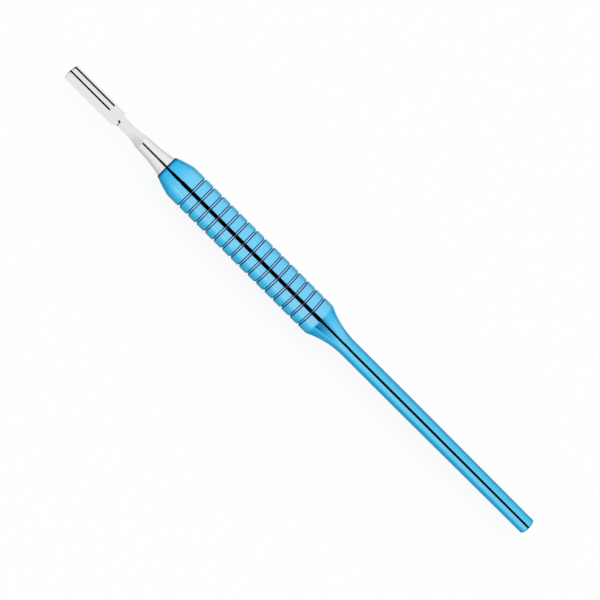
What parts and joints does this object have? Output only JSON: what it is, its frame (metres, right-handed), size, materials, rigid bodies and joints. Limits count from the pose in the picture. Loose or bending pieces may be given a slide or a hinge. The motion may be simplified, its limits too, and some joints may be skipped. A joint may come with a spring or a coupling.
{
  "type": "scalpel handle",
  "caption": "Round scalpel handle: a blue turned body with a ring-grooved grip and a slim tapered tail, and a steel blade holder milled to take slide-on blades.",
  "frame": {"origin": "on the handle's axis, at the middle of the round grip", "axes": "+X along the axis from the blade end to the tail end, +Z out of the blade holder's grooved face, +Y to the side whose shoulder starts further forward"},
  "size_m": [0.1611, 0.0096, 0.0096],
  "materials": {
    "blue_metal": "polished, blue anodised",
    "steel": "fine satin"
  },
  "bodies": {
    "root": {"handle_body": "blue_metal", "blade_holder": "steel"}
  },
  "joints": []
}
